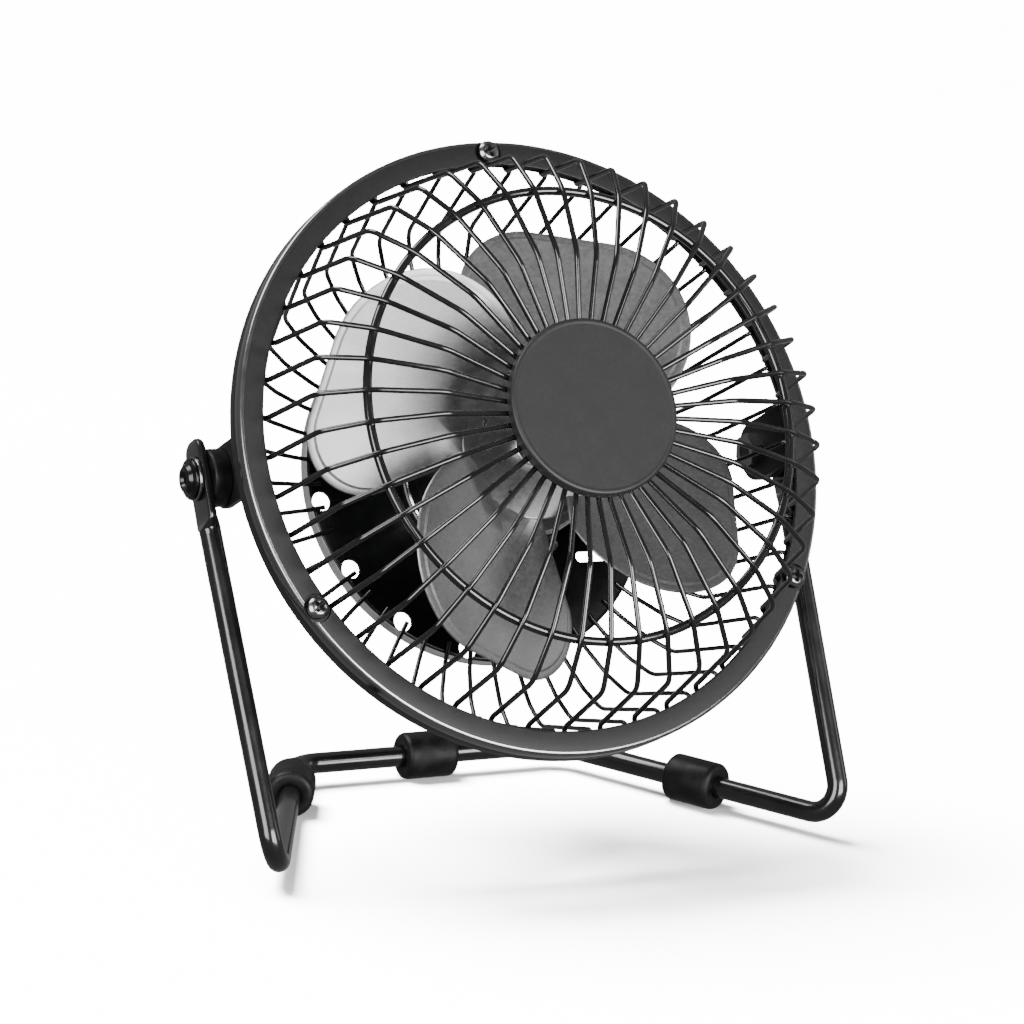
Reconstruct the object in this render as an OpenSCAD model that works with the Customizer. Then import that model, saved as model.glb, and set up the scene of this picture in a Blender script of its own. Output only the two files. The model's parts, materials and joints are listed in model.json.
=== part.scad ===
// Small metal desk fan: a caged fan head hung between two bolts on a bent rod stand.
// Units are millimetres. +Z is up, the front of the fan faces -Y, +X is the viewer's right.
// The origin lies on the surface that the fan stands on, under the middle of its footprint.

/* [Stand] */
// Height of the pivot bolts above the table
pivot_height = 77.05; // [74:0.05:90]
// How far the pivot bolts sit behind the middle of the footprint
pivot_y = 14.5; // [0:0.05:30]
// Diameter of the stand's rod
rod_d = 4.6; // [4:0.2:5.5]
// Half the distance between the rod's axes at the pivots
rod_half_top = 69; // [69:0.1:74]
// Half the distance between the two front corners
rod_half_front = 66.6; // [66:0.1:72]
// Half the length of the short bar at the rear
rod_half_rear = 31.8; // [28:0.1:45]
// How far the front corners lie in front of the pivots
rod_reach_front = 42.8; // [36:0.2:50]
// How far the rear bar lies behind the pivots
rod_reach_rear = 26.6; // [26:0.2:40]
// Bend radius of the front corners
front_bend_r = 5.5; // [5:0.5:14]
// Bend radius of the rear corners
rear_bend_r = 8; // [6:0.5:10]
// Outer diameter of the rubber sleeves that the fan stands on
foot_d = 10.4; // [9:0.2:12]
// Length of a rubber sleeve
foot_l = 12.2; // [10:0.2:18]

/* [Head] */
// Upward tilt of the fan head at rest, in degrees
rest_tilt = 28.5; // [0:0.1:45]
// Distance of the rim's front face in front of the pivot axis
rim_z = 18.8; // [18:0.1:20]
// Drop of the fan's axis below the pivot axis, square to the fan's axis
axis_drop = 0.9; // [0:0.1:1.5]
// Outer radius of the rim
rim_r = 66.9; // [66.5:0.1:67.3]
// Inner radius of the rim
rim_inner_r = 61.6; // [61.4:0.1:61.8]
// Sheet thickness of the rim rings
rim_sheet = 0.9; // [0.7:0.1:1]
// Number of wires in each half of the cage
wire_count = 46; // [23:23:46]
// Thickness of the cage wires
wire_d = 1.2; // [1:0.1:1.4]
// Radius of the support ring behind the front wires
guard_ring_r = 48.2; // [45:0.1:50]
// Radius of the round badge
badge_r = 18.9; // [17:0.1:20]
// Radius of the plate that closes the back of the cage
plate_r = 40.1; // [39:0.1:44]

/* [Impeller and motor] */
// Number of blades
blade_count = 4; // [3:1:5]
// Radius of the blade tips
blade_tip_r = 49.2; // [47:0.1:50]
// Pitch of the blades, in degrees
blade_pitch = 24; // [15:1:28]
// Sheet thickness of the blades
blade_sheet = 0.8; // [0.6:0.1:1]
// Radius of the motor's steel can
can_r = 18; // [17:0.5:19]
// Diameter of the motor shaft
shaft_d = 2; // [2:0.1:2.3]
// Radius of the plastic cover on the back
cover_r = 24; // [22:0.5:26]
// Depth of the plastic cover on the back
cover_depth = 14; // [13:0.5:18]

/* [Hidden] */
$fn = 64;

// Gap that lets one piece turn past another, and a hair more than nothing for clean cuts
turn_gap = 0.12;
cut = 1;

// Pivot stack, measured outwards from the middle of the fan along X
pivot_bolt_r = 2;
eye_hole_r = pivot_bolt_r + 0.05;
tab_in = 62.6;
tab_sheet = 1.4;
tab_out = tab_in + tab_sheet;
eye_t = 1.8;
eye_in = rod_half_top - eye_t / 2;
eye_out = rod_half_top + eye_t / 2;
spacer_l = eye_in - turn_gap - tab_out;
washer_in = eye_out + turn_gap;
washer_t = 0.8;
bolt_head_in = washer_in + washer_t;
bolt_head_h = 2;
bolt_head_r = 4.35;
pivot_nut_h = 2.4;
pivot_nut_af = 7;

// Places along the fan's axis, measured forwards from the pivot axis
front_flange_back = rim_z - rim_sheet;
rear_flange_front = front_flange_back - 2.1;
rear_flange_back = rear_flange_front - rim_sheet;
rear_lip_back = rear_flange_back - 2;
plate_z = rim_z - 29.2;
plate_sheet = 0.8;
plate_wall = 3.4;
plate_back = plate_z - plate_sheet;
can_back = plate_z + 0.8;
can_front = rim_z - 8;
can_sheet = 0.8;
hub_z = rim_z - 4.5;
guard_hub_z = rim_z + 24.2;
badge_front = rim_z + 28;
cover_back = plate_back - cover_depth;
cover_wall = 1.6;

// Cage wires: [radius, place along the axis] of each corner, and the radius of each bend
front_wire_corners = [
    [63, front_flange_back - wire_d / 2],
    [60.8, front_flange_back - wire_d / 2],
    [57.6, rim_z + 17.8],
    [guard_ring_r, rim_z + 23.9],
    [33.5, rim_z + 27.2],
    [19.2, guard_hub_z + wire_d / 2 + 0.1],
    [15.5, guard_hub_z + wire_d / 2]
];
front_wire_bends = [0, 1.6, 4.5, 12, 9, 6, 0];
rear_wire_corners = [
    [63, rear_flange_front + wire_d / 2],
    [61.1, rear_flange_front + wire_d / 2],
    [55.6, plate_z + 5.4],
    [49.8, plate_z + 2.1],
    [42.6, plate_z + wire_d / 2],
    [plate_r - 2.5, plate_z + wire_d / 2]
];
rear_wire_bends = [0, 1.4, 4, 6, 6, 0];
// The rear wires are turned back from the front ones by a fifth of the space between two wires
rear_wire_phase = -72 / wire_count;
screw_circle_r = 64.4;
screw_angles = [90, 210, 330];
screw_shank_r = 1.25;
screw_head_r = 2.4;
screw_head_h = 1.5;

// ---------- shared geometry ----------

function unit(v) = v / norm(v);
function turn_between(u, v) = acos(min(1, max(-1, u * v)));

// Points along one bend at corner b of the path a-b-c
function bend_points(a, b, c, r, steps) =
    let (u = unit(b - a), v = unit(c - b), turn = turn_between(u, v), side = unit(v - (u * v) * u))
    let (start = b - u * r * tan(turn / 2), middle = start + r * side)
    [for (k = [0 : steps]) middle + r * (u * sin(turn * k / steps) - side * cos(turn * k / steps))];

// A path through corners with every inner corner rounded by its own bend
function bent_path(corners, bends, steps) = [
    for (i = [0 : len(corners) - 1])
        each (bends[i] == 0 ? [corners[i]]
            : bend_points(corners[i - 1], corners[i], corners[i + 1], bends[i], steps))
];

function path_side(path, i) =
    let (d = unit(path[min(i + 1, len(path) - 1)] - path[max(i - 1, 0)])) [-d[1], d[0]];

// Outline of a strip of the given width that follows a flat path
function strip(path, width) = concat(
    [for (i = [0 : len(path) - 1]) path[i] + path_side(path, i) * width / 2],
    [for (i = [len(path) - 1 : -1 : 0]) path[i] - path_side(path, i) * width / 2]
);

// A solid ring turned from a rectangle
module ring(inner, outer, low, high) {
    rotate_extrude() translate([inner, low]) square([outer - inner, high - low]);
}

module disc(r, low, high) {
    translate([0, 0, low]) cylinder(r = r, h = high - low);
}

// The fan head's frame: local Z points out of the front, local Y up, origin on the pivot axis
module in_head() {
    translate([0, pivot_y, pivot_height]) rotate([90 - rest_tilt, 0, 0]) children();
}

// The same frame moved onto the fan's axis
module on_fan_axis() {
    in_head() translate([0, -axis_drop, 0]) children();
}

// Along the pivot axis: side is -1 for left and 1 for right, Z points outwards
module on_pivot(side) {
    translate([0, pivot_y, pivot_height]) rotate([0, side * 90, 0]) children();
}

// A rod bent through a list of corners, with one straight stretch between two bends
module bent_rod(corners, bends, r) {
    // Straight stretches are a hair thinner than the bends and run a little way into them
    thinner = 0.02;
    into = 0.3;
    last = len(corners) - 1;
    dirs = [for (i = [0 : last - 1]) unit(corners[i + 1] - corners[i])];
    turns = [for (i = [0 : last]) (i == 0 || i == last) ? 0 : turn_between(dirs[i - 1], dirs[i])];
    trims = [for (i = [0 : last]) bends[i] * tan(turns[i] / 2)];
    for (i = [0 : last - 1]) {
        from = corners[i] + dirs[i] * (trims[i] - into);
        length = norm(corners[i + 1] - corners[i]) - trims[i] - trims[i + 1] + 2 * into;
        along(from, dirs[i]) cylinder(r = r - thinner, h = length);
    }
    for (i = [1 : last - 1]) {
        side = unit(dirs[i] - (dirs[i - 1] * dirs[i]) * dirs[i - 1]);
        start = corners[i] - dirs[i - 1] * trims[i];
        placed(start + side * bends[i], -side, dirs[i - 1])
            rotate_extrude(angle = turns[i]) translate([bends[i], 0]) circle(r = r);
    }
}

// Puts a child's origin at a point with its X and Y axes along two square directions
module placed(origin, x, y) {
    z = cross(x, y);
    multmatrix([
        [x[0], y[0], z[0], origin[0]],
        [x[1], y[1], z[1], origin[1]],
        [x[2], y[2], z[2], origin[2]],
        [0, 0, 0, 1]
    ]) children();
}

// Puts a child's Z axis along a direction
module along(origin, z) {
    x = unit(cross(abs(z[2]) < 0.9 ? [0, 0, 1] : [1, 0, 0], z));
    placed(origin, x, cross(z, x)) children();
}

// ---------- stand ----------

foot_flat = 0.25;
foot_z = foot_d / 2 - foot_flat;
front_corner = [rod_half_front, pivot_y - rod_reach_front, foot_z];
rear_corner = [rod_half_rear, pivot_y + rod_reach_rear, foot_z];
pivot_point = [rod_half_top, pivot_y, pivot_height];
leg_dir = unit(front_corner - pivot_point);
leg_start = 13;
eye_w = 8;
eye_top = 8.2;
eye_round = 3;
eye_low = 8;

function mirrored(p, side) = [side * p[0], p[1], p[2]];

// Strip along Y with a blunt rounded end above the bolt
module eye_outline() {
    translate([-eye_w / 2, -eye_low]) square([eye_w, eye_low + eye_top - eye_round]);
    translate([eye_round - eye_w / 2, 0]) square([eye_w - 2 * eye_round, eye_top]);
    for (s = [-1, 1]) translate([s * (eye_w / 2 - eye_round), eye_top - eye_round]) circle(r = eye_round);
}

module stand_eye(side) {
    // The rod's end, pressed flat into an eye that the pivot bolt passes through
    leg_start_point = mirrored(pivot_point + leg_dir * leg_start, side);
    lean = atan2(leg_dir[1], leg_dir[2]) - 180;
    difference() {
        union() {
            translate([side * rod_half_top - eye_t / 2, pivot_y, pivot_height]) rotate([-lean, 0, 0])
                rotate([90, 0, 90]) linear_extrude(eye_t) eye_outline();
            hull() {
                translate([side * rod_half_top, pivot_y, pivot_height]) rotate([-lean, 0, 0])
                    translate([0, 0, 0.2 - eye_low]) cube([eye_t - 0.04, eye_w - 0.04, 0.4], center = true);
                along(leg_start_point, mirrored(leg_dir, side)) cylinder(r = rod_d / 2, h = 0.6, $fn = 32);
            }
        }
        on_pivot(side) translate([0, 0, eye_in - cut]) cylinder(r = eye_hole_r, h = eye_t + 2 * cut);
    }
}

module stand_frame() {
    // One rod: down from each pivot to a front corner, back along the table, and across the rear
    color("#15161a") {
        bent_rod([
            mirrored(pivot_point + leg_dir * leg_start, -1),
            mirrored(front_corner, -1), mirrored(rear_corner, -1), rear_corner, front_corner,
            pivot_point + leg_dir * leg_start
        ], [0, front_bend_r, rear_bend_r, rear_bend_r, front_bend_r, 0], rod_d / 2);
        for (side = [-1, 1]) stand_eye(side);
    }
}

// A rubber sleeve on the rod, with rounded ends and a narrow flat pressed on by the table
module foot(middle, dir) {
    rim_round = 1.2;
    r = foot_d / 2;
    color("#0c0c0d") difference() {
        along(middle - dir * foot_l / 2, dir) rotate_extrude() {
            translate([rod_d / 2, 0]) square([r - rim_round - rod_d / 2, foot_l]);
            translate([rod_d / 2, rim_round]) square([r - rod_d / 2, foot_l - 2 * rim_round]);
            for (z = [rim_round, foot_l - rim_round]) translate([r - rim_round, z]) circle(r = rim_round);
        }
        translate([middle[0] - foot_l, middle[1] - foot_l, -foot_d]) cube([2 * foot_l, 2 * foot_l, foot_d]);
    }
}

run_dir = unit(rear_corner - front_corner);
foot_left_share = 0.78;
foot_right_share = 0.5;

function on_run(share) = front_corner + (rear_corner - front_corner) * share;

module foot_left() { foot(mirrored(on_run(foot_left_share), -1), mirrored(run_dir, -1)); }
module foot_right() { foot(on_run(foot_right_share), run_dir); }
module foot_rear() { foot([0, rear_corner[1], foot_z], [1, 0, 0]); }

// ---------- rim and cage ----------

module screw_holes(r) {
    for (a = screw_angles) rotate(a) translate([screw_circle_r, 0, rim_z - 10]) cylinder(r = r, h = 20);
}

module front_ring() {
    // Flat flange with a turned-back skirt
    edge_round = 1.1;
    color("#1d1e21") on_fan_axis() difference() {
        rotate_extrude() {
            translate([rim_inner_r, front_flange_back]) square([rim_r - edge_round - rim_inner_r, rim_sheet]);
            translate([rim_r - rim_sheet, rear_flange_front]) square([rim_sheet, 3 - edge_round]);
            intersection() {
                translate([rim_r - edge_round, rim_z - edge_round]) difference() {
                    circle(r = edge_round);
                    circle(r = edge_round - rim_sheet);
                }
                translate([rim_r - edge_round, rim_z - edge_round]) square(edge_round);
            }
        }
        screw_holes(screw_shank_r + 0.1);
    }
}

module rear_ring() {
    color("#141517") on_fan_axis() difference() {
        union() {
            ring(rim_inner_r + 0.7, rim_r, rear_flange_back, rear_flange_front);
            ring(rim_r - rim_sheet, rim_r, rear_lip_back, rear_flange_back);
        }
        screw_holes(screw_shank_r + 0.1);
    }
}

module cage_wires(corners, bends, phase) {
    path = bent_path(corners, bends, 4);
    for (k = [0 : wire_count - 1]) rotate([90, 0, phase + 360 / wire_count * k])
        linear_extrude(wire_d, center = true) polygon(strip(path, wire_d));
}

module front_guard_wires() {
    color("#17181a") on_fan_axis() cage_wires(front_wire_corners, front_wire_bends, 0);
}

module rear_guard_wires() {
    color("#17181a") on_fan_axis() cage_wires(rear_wire_corners, rear_wire_bends, rear_wire_phase);
}

module front_guard_ring() {
    // Welded to the back of the front wires
    color("#17181a") on_fan_axis() rotate_extrude()
        translate([guard_ring_r, rim_z + 22.2]) circle(r = 1);
}

module front_guard_hub() {
    // Disc that gathers the ends of the front wires behind the badge
    color("#17181a") on_fan_axis() difference() {
        disc(18, guard_hub_z - 0.8, guard_hub_z);
        disc(1.6, guard_hub_z - 3, guard_hub_z + 3);
    }
}

module badge() {
    // Blank pressed cap with a rolled edge, fixed by a centre stud through the wire hub
    edge_round = 1.4;
    sheet = 0.8;
    wall_low = rim_z + 25.7;
    color("#303134") on_fan_axis() {
        rotate_extrude() {
            translate([0, badge_front - sheet]) square([badge_r - edge_round, sheet]);
            translate([badge_r - sheet, wall_low]) square([sheet, badge_front - edge_round - wall_low]);
            translate([badge_r - edge_round, badge_front - edge_round]) intersection() {
                difference() {
                    circle(r = edge_round);
                    circle(r = edge_round - sheet);
                }
                square(edge_round);
            }
        }
        disc(3.4, guard_hub_z, badge_front - sheet);
        disc(1.5, guard_hub_z - 1.6, guard_hub_z);
    }
}

module rear_plate() {
    // Shallow pan with a wall turned back, vents near its edge and holes for the motor and leads
    vent_angles = [4, 28, 52, 76, 184, 208, 232, 256];
    vent_r = 2.1;
    vent_circle_r = plate_r - 2.4;
    color("#08080a") on_fan_axis() difference() {
        union() {
            disc(plate_r, plate_back, plate_z);
            ring(plate_r - plate_sheet, plate_r, plate_z - plate_wall, plate_back);
        }
        for (a = vent_angles) rotate(a) translate([vent_circle_r, 0, plate_back - cut])
            cylinder(r = vent_r, h = plate_sheet + 2 * cut);
        for (y = [-1, 1]) translate([0, y * motor_screw_reach, plate_back - cut])
            cylinder(r = motor_screw_r, h = plate_sheet + 2 * cut);
        for (a = cover_screw_angles) rotate(a) translate([cover_screw_reach, 0, plate_back - cut])
            cylinder(r = cover_screw_r, h = plate_sheet + 2 * cut);
        translate([0, 0, plate_back - cut]) cylinder(r = 4.6, h = plate_sheet + 2 * cut);
        translate([24.1, -18.1, plate_back - cut]) linear_extrude(plate_sheet + 2 * cut) hang_slot();
    }
}

// Slot with round ends that the plate hangs by while it is painted
module hang_slot() {
    slot_l = 8;
    slot_w = 2.4;
    translate([slot_w / 2 - slot_l / 2, -slot_w / 2]) square([slot_l - slot_w, slot_w]);
    for (s = [-1, 1]) translate([s * (slot_l - slot_w) / 2, 0]) circle(r = slot_w / 2);
}

// ---------- pivots ----------

tab_w = 13;

module pivot_tab(side) {
    // Sheet lug from the rear ring back to the pivot bolt
    color("#0f1012") in_head() difference() {
        union() {
            rotate([0, side * 90, 0]) translate([0, 0, tab_in]) cylinder(r = tab_w / 2, h = tab_sheet);
            translate([side * (tab_in + tab_sheet / 2) - tab_sheet / 2, -tab_w / 2, 0])
                cube([tab_sheet, tab_w, rear_flange_back]);
        }
        rotate([0, side * 90, 0]) translate([0, 0, tab_in - cut])
            cylinder(r = pivot_bolt_r + 0.1, h = tab_sheet + 2 * cut);
    }
}

module pivot_tab_left() { pivot_tab(-1); }
module pivot_tab_right() { pivot_tab(1); }

module pivot_spacer(side) {
    // Thick rubber washer between lug and stand
    edge = 0.5;
    r = 6.1;
    color("#0b0b0c") on_pivot(side) translate([0, 0, tab_out]) rotate_extrude() polygon([
        [pivot_bolt_r, 0], [r, 0], [r, spacer_l - edge], [r - edge, spacer_l], [pivot_bolt_r, spacer_l]
    ]);
}

module pivot_spacer_left() { pivot_spacer(-1); }
module pivot_spacer_right() { pivot_spacer(1); }

module pivot_washer(side) {
    color("#26272a") on_pivot(side) translate([0, 0, washer_in]) difference() {
        cylinder(r = 4.6, h = washer_t);
        translate([0, 0, -cut]) cylinder(r = pivot_bolt_r, h = washer_t + 2 * cut);
    }
}

module pivot_washer_left() { pivot_washer(-1); }
module pivot_washer_right() { pivot_washer(1); }

// Cross-shaped driver recess, cut downwards from z = 0
module cross_recess(size, depth) {
    for (a = [0, 90]) rotate(a) translate([-size / 2, -size / 9, -depth]) cube([size, size / 4.5, depth + cut]);
}

// Domed screw head standing on z = 0
module domed_head(r, h) {
    dome_r = (r * r + h * h) / (2 * h);
    intersection() {
        cylinder(r = r, h = h);
        translate([0, 0, h - dome_r]) sphere(r = dome_r);
    }
}

module pivot_bolt(side) {
    shank_l = bolt_head_in - tab_in + pivot_nut_h;
    color("#1b1c1f") on_pivot(side) translate([0, 0, bolt_head_in]) {
        difference() {
            domed_head(bolt_head_r, bolt_head_h);
            translate([0, 0, bolt_head_h]) cross_recess(4.4, 1.6);
        }
        translate([0, 0, -shank_l]) cylinder(r = pivot_bolt_r, h = shank_l);
    }
}

module pivot_bolt_left() { pivot_bolt(-1); }
module pivot_bolt_right() { pivot_bolt(1); }

module hex_nut(across_flats, h, bore_r) {
    difference() {
        cylinder(d = across_flats / cos(30), h = h, $fn = 6);
        translate([0, 0, -cut]) cylinder(r = bore_r, h = h + 2 * cut);
    }
}

module pivot_nut(side) {
    color("#2a2b2e") on_pivot(side) translate([0, 0, tab_in - pivot_nut_h])
        hex_nut(pivot_nut_af, pivot_nut_h, pivot_bolt_r);
}

module pivot_nut_left() { pivot_nut(-1); }
module pivot_nut_right() { pivot_nut(1); }

// ---------- rim fasteners ----------

rim_nut_h = 1.6;

module rim_screws() {
    color("#3a3b3e") on_fan_axis() for (a = screw_angles) rotate(a) translate([screw_circle_r, 0, rim_z]) {
        shank_l = rim_z - rear_flange_back + rim_nut_h;
        difference() {
            domed_head(screw_head_r, screw_head_h);
            translate([0, 0, screw_head_h]) cross_recess(2.4, 0.9);
        }
        translate([0, 0, -shank_l]) cylinder(r = screw_shank_r, h = shank_l);
    }
}

module rim_nuts() {
    color("#2a2b2e") on_fan_axis() for (a = screw_angles) rotate(a)
        translate([screw_circle_r - 0.6, 0, rear_flange_back - rim_nut_h]) difference() {
            cylinder(d = 3.2 / cos(30), h = rim_nut_h, $fn = 6);
            translate([0.6, 0, -cut]) cylinder(r = screw_shank_r, h = rim_nut_h + 2 * cut);
        }
}

// ---------- motor ----------

bush_r = 3;
shaft_r = shaft_d / 2;
shaft_gap = 0.05;
motor_screw_reach = 8.5;
motor_screw_r = 1;
cap_t = 2.4;

module motor_can() {
    // Drawn steel cup, open at the back, with a neck for the front bush
    color("#b9bbbe") on_fan_axis() difference() {
        union() {
            disc(can_r, can_back, can_front);
            disc(bush_r + 1, can_front, can_front + 1.2);
        }
        disc(can_r - can_sheet, can_back - cut, can_front - can_sheet);
        disc(bush_r, can_front - can_sheet - cut, can_front + 1.2 + cut);
    }
}

module motor_end_cap() {
    color("#d8d6cf") on_fan_axis() difference() {
        union() {
            disc(can_r, plate_z, can_back);
            disc(can_r - can_sheet, can_back, can_back + cap_t);
        }
        disc(bush_r, can_back, can_back + cap_t + cut);
        for (y = [-1, 1]) translate([0, y * motor_screw_reach, plate_z - cut])
            cylinder(r = motor_screw_r, h = cap_t + cut);
        for (x = [-1, 1]) translate([x * 8.4 - 1.3, -1.6, can_back + cap_t - 1])
            cube([2.6, 3.2, 1 + cut]);
    }
}

module bush(low, high) {
    color("#b08d45") on_fan_axis() ring(shaft_r + shaft_gap, bush_r, low, high);
}

module motor_front_bush() { bush(can_front - 1.6, can_front + 1.2); }
module motor_rear_bush() { bush(can_back + 0.6, can_back + cap_t); }

magnet_low = can_back + 5;
magnet_high = can_front - 1.6;

module motor_magnets() {
    // Two curved magnets inside the can
    magnet_r = can_r - can_sheet;
    color("#3c3d40") on_fan_axis() for (turn = [0, 180]) rotate(turn - 60) rotate_extrude(angle = 120)
        translate([magnet_r - 2.6, magnet_low]) square([2.6, magnet_high - magnet_low]);
}

module motor_brushes() {
    // Leaf-sprung carbon brushes, seated in the end cap
    color("#c08a3e") on_fan_axis() for (x = [-1, 1]) translate([x * 8.4 - 1.3, -1.6, can_back + cap_t - 1]) {
        cube([2.6, 3.2, 2.6]);
        translate([x > 0 ? -4.2 : 2.6, 0.8, 1.2]) cube([4.2, 1.6, 1.4]);
    }
}

module motor_screws() {
    color("#8f9194") on_fan_axis() for (y = [-1, 1]) translate([0, y * motor_screw_reach, 0]) {
        disc(motor_screw_r, plate_back, can_back + 1);
        disc(1.9, plate_back - 1.1, plate_back);
    }
}

rotor_low = magnet_low + 0.6;
rotor_high = magnet_high - 0.6;
core_r = can_r - can_sheet - 2.6 - 0.5;

// Three poles round a middle ring, each with a curved shoe at its end
module armature_outline() {
    hub_r = 3.4;
    pole_start = 2;
    pole_w = 2.4;
    shoe_t = 1.8;
    shoe_half_angle = 36;
    shoe_side = 2 * core_r * [cos(shoe_half_angle), sin(shoe_half_angle)];
    difference() {
        union() {
            circle(r = hub_r);
            for (a = [90, 210, 330]) rotate(a) {
                translate([pole_start, -pole_w / 2]) square([core_r - pole_start - shoe_t / 2, pole_w]);
                intersection() {
                    difference() {
                        circle(r = core_r);
                        circle(r = core_r - shoe_t);
                    }
                    polygon([[0, 0], [shoe_side[0], -shoe_side[1]], shoe_side]);
                }
            }
        }
        circle(r = shaft_r);
    }
}

module rotor_core() {
    // Stack of armature laminations
    color("#74767a") on_fan_axis() translate([0, 0, rotor_low])
        linear_extrude(rotor_high - rotor_low) armature_outline();
}

module rotor_windings() {
    // Copper wound round the three poles
    winding_out = core_r - 2.1;
    color("#b5602c") on_fan_axis() for (a = [90, 210, 330]) rotate(a) for (s = [-1, 1])
        translate([4, s > 0 ? 1.25 : -3, rotor_low + 0.4])
            cube([winding_out - 4.6, 1.75, rotor_high - rotor_low - 0.8]);
}

commutator_r = 2.6;

module commutator() {
    color("#c77b45") on_fan_axis() ring(shaft_r, commutator_r, can_back + cap_t + 0.3, rotor_low - 0.3);
}

module motor_shaft() {
    color("#c9cacc") on_fan_axis() disc(shaft_r, can_back + 0.9, hub_z + 3.4);
}

// ---------- impeller ----------

hub_plate_r = 15.5;
blade_root_r = 12;

// Points on an arc about a middle, from one angle to another
function arc(middle, r, from, to, steps) =
    [for (k = [0 : steps]) let (a = from + (to - from) * k / steps) middle + r * [cos(a), sin(a)]];

// Flat blade: X runs out along the blade, Y across it. A wide trailing lobe and a smaller leading
// lobe share a straight tip edge, and a straight leading edge runs back to the centre plate.
module blade_outline() {
    lobe = [27, -11.5];
    lobe_r = 21;
    tip = [blade_tip_r - 13, 4.5];
    tip_r = 13;
    across = tip - lobe;
    touch = atan2(across[1], across[0]) - acos((lobe_r - tip_r) / norm(across));
    polygon(concat(
        arc(lobe, lobe_r, -160, touch, 24),
        arc(tip, tip_r, touch, 112, 16),
        [[20, 9.5], [15.5, 3], [10, 2], [8, -8]]
    ));
}

// A blade pitched about its length, its wide lobe forwards
module blade() {
    translate([0, 0, hub_z]) rotate([-blade_pitch, 0, 0]) linear_extrude(blade_sheet) blade_outline();
}

module impeller_blades() {
    // One stamping: a centre plate with pitched blades
    color("#c4c6c9") on_fan_axis() difference() {
        union() {
            disc(hub_plate_r, hub_z, hub_z + blade_sheet);
            difference() {
                for (k = [0 : blade_count - 1]) rotate(75 + 360 / blade_count * k) blade();
                disc(blade_root_r, hub_z - 20, hub_z + 20);
            }
        }
        disc(hub_bore_r, hub_z - 2 * cut, hub_z + 3 * cut);
        for (k = [0 : 3]) rotate(58 + 90 * k) translate([11.5, 0, hub_z - cut])
            cylinder(r = 0.9, h = blade_sheet + 2 * cut);
    }
}

hub_bore_r = 2.4;

module impeller_hub() {
    // Pressed-on collar riveted through the centre plate
    color("#d0d1d3") on_fan_axis() difference() {
        union() {
            disc(4.2, hub_z - 1.8, hub_z);
            disc(hub_bore_r, hub_z, hub_z + blade_sheet);
            disc(4.2, hub_z + blade_sheet, hub_z + 2.8);
        }
        disc(shaft_r, hub_z - 4, hub_z + 4);
    }
}

// ---------- back cover, switch and inlet ----------

cover_screw_reach = 20.6;
cover_screw_r = 1.2;
cover_screw_angles = [45, 135, 225, 315];
switch_w = 10.4;
switch_l = 15;
switch_wall = 1;
switch_y = 8;
switch_depth = 9;

module rear_cover() {
    // Moulded cap over the wiring, with a window for the switch and a hole for the lead
    edge_round = 2.2;
    post_r = 2.6;
    color("#101113") on_fan_axis() difference() {
        union() {
            difference() {
                rotate_extrude() {
                    translate([0, cover_back]) square([cover_r - edge_round, plate_back - cover_back]);
                    translate([0, cover_back + edge_round])
                        square([cover_r, plate_back - cover_back - edge_round]);
                    translate([cover_r - edge_round, cover_back + edge_round]) circle(r = edge_round);
                }
                disc(cover_r - cover_wall, cover_back + cover_wall, plate_back + cut);
            }
            for (a = cover_screw_angles) rotate(a) translate([cover_screw_reach, 0, cover_back + cover_wall])
                cylinder(r = post_r, h = cover_depth - cover_wall);
        }
        for (a = cover_screw_angles) rotate(a) translate([cover_screw_reach, 0, plate_back - 6])
            cylinder(r = cover_screw_r, h = 6 + cut);
        translate([-switch_l / 2, switch_y - switch_w / 2, cover_back - cut])
            cube([switch_l, switch_w, cover_wall + 2 * cut]);
        translate([0, -cover_r + 5, inlet_z]) rotate([90, 0, 0]) cylinder(r = inlet_neck_r, h = 12);
    }
}

module cover_screws() {
    // Driven from the front of the plate into the cover's posts
    color("#3a3b3e") on_fan_axis() for (a = cover_screw_angles) rotate(a) translate([cover_screw_reach, 0, 0]) {
        disc(cover_screw_r, plate_back - 5, plate_z);
        translate([0, 0, plate_z]) difference() {
            domed_head(2, 1.1);
            translate([0, 0, 1.1]) cross_recess(2, 0.6);
        }
    }
}

board_z = plate_back - 5;

module circuit_board() {
    color("#1f5a3c") on_fan_axis() {
        translate([-11, -15, board_z]) cube([22, 13, 1.2]);
        translate([-8, -12, board_z - 2]) cube([5, 4, 2]);
        translate([2, -11, board_z - 1.4]) cube([6, 5, 1.4]);
    }
}

module switch_body() {
    // Open box behind a thin flange, clipped into the window
    bezel = 0.9;
    inner_w = switch_w - 2 * switch_wall;
    inner_l = switch_l - 2 * switch_wall;
    color("#1a1a1c") on_fan_axis() translate([0, switch_y, cover_back]) difference() {
        union() {
            translate([-switch_l / 2, -switch_w / 2, 0]) cube([switch_l, switch_w, switch_depth]);
            translate([-switch_l / 2 - 1, -switch_w / 2 - 1, -bezel]) cube([switch_l + 2, switch_w + 2, bezel]);
        }
        translate([-inner_l / 2, -inner_w / 2, -bezel - cut])
            cube([inner_l, inner_w, bezel + cut + switch_depth - 1.4]);
        translate([0, switch_w, 3]) rotate([90, 0, 0]) cylinder(r = rocker_pin_r + 0.05, h = 2 * switch_w);
    }
}

rocker_pin_r = 0.9;
rocker_throw = 9;

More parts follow.
